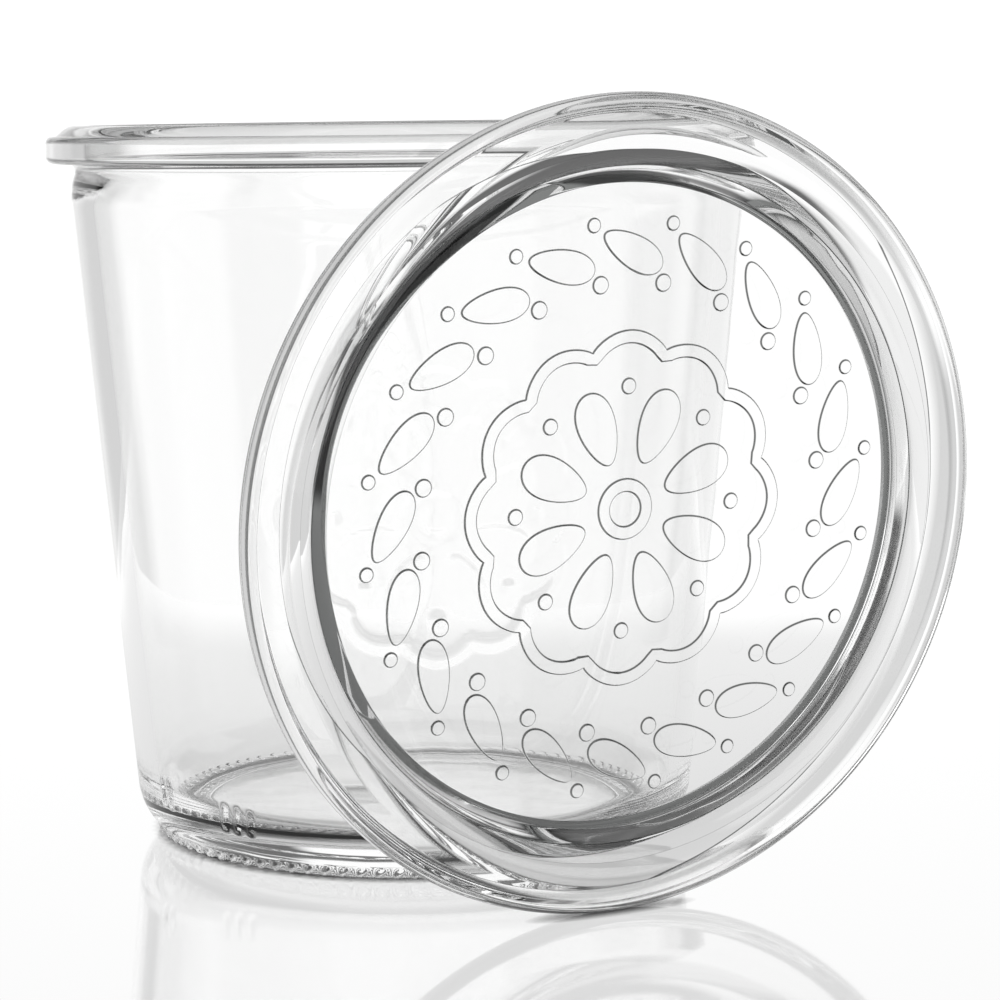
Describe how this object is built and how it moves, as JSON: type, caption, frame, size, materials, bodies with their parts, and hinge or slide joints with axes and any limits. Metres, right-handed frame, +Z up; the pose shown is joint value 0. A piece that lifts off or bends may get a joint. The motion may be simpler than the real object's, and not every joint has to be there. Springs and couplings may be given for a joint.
{
  "type": "canning jar",
  "caption": "Wide-mouthed clear glass canning jar that tapers to a knurled foot, with its loose glass lid set down on edge in front of it; keeps preserved food.",
  "frame": {"origin": "on the floor that both pieces stand on, in the middle of the box round the jar and its standing lid", "axes": "+Z up along the jar's axis; -Y to the front, the side the lid stands on; +X to the right as seen from the front"},
  "size_m": [0.1326, 0.1392, 0.1109],
  "materials": {
    "jar_glass": "smooth pressed glass, colourless",
    "lid_glass": "smooth pressed glass, colourless"
  },
  "bodies": {
    "jar": {"glass_jar": "jar_glass"},
    "lid": {"glass_lid": "lid_glass"}
  },
  "joints": [
    {"name": "lid_lift", "type": "slide", "parent": "jar", "child": "lid", "axis": [0, 0, 1], "range_m": [0, 0.12]}
  ]
}
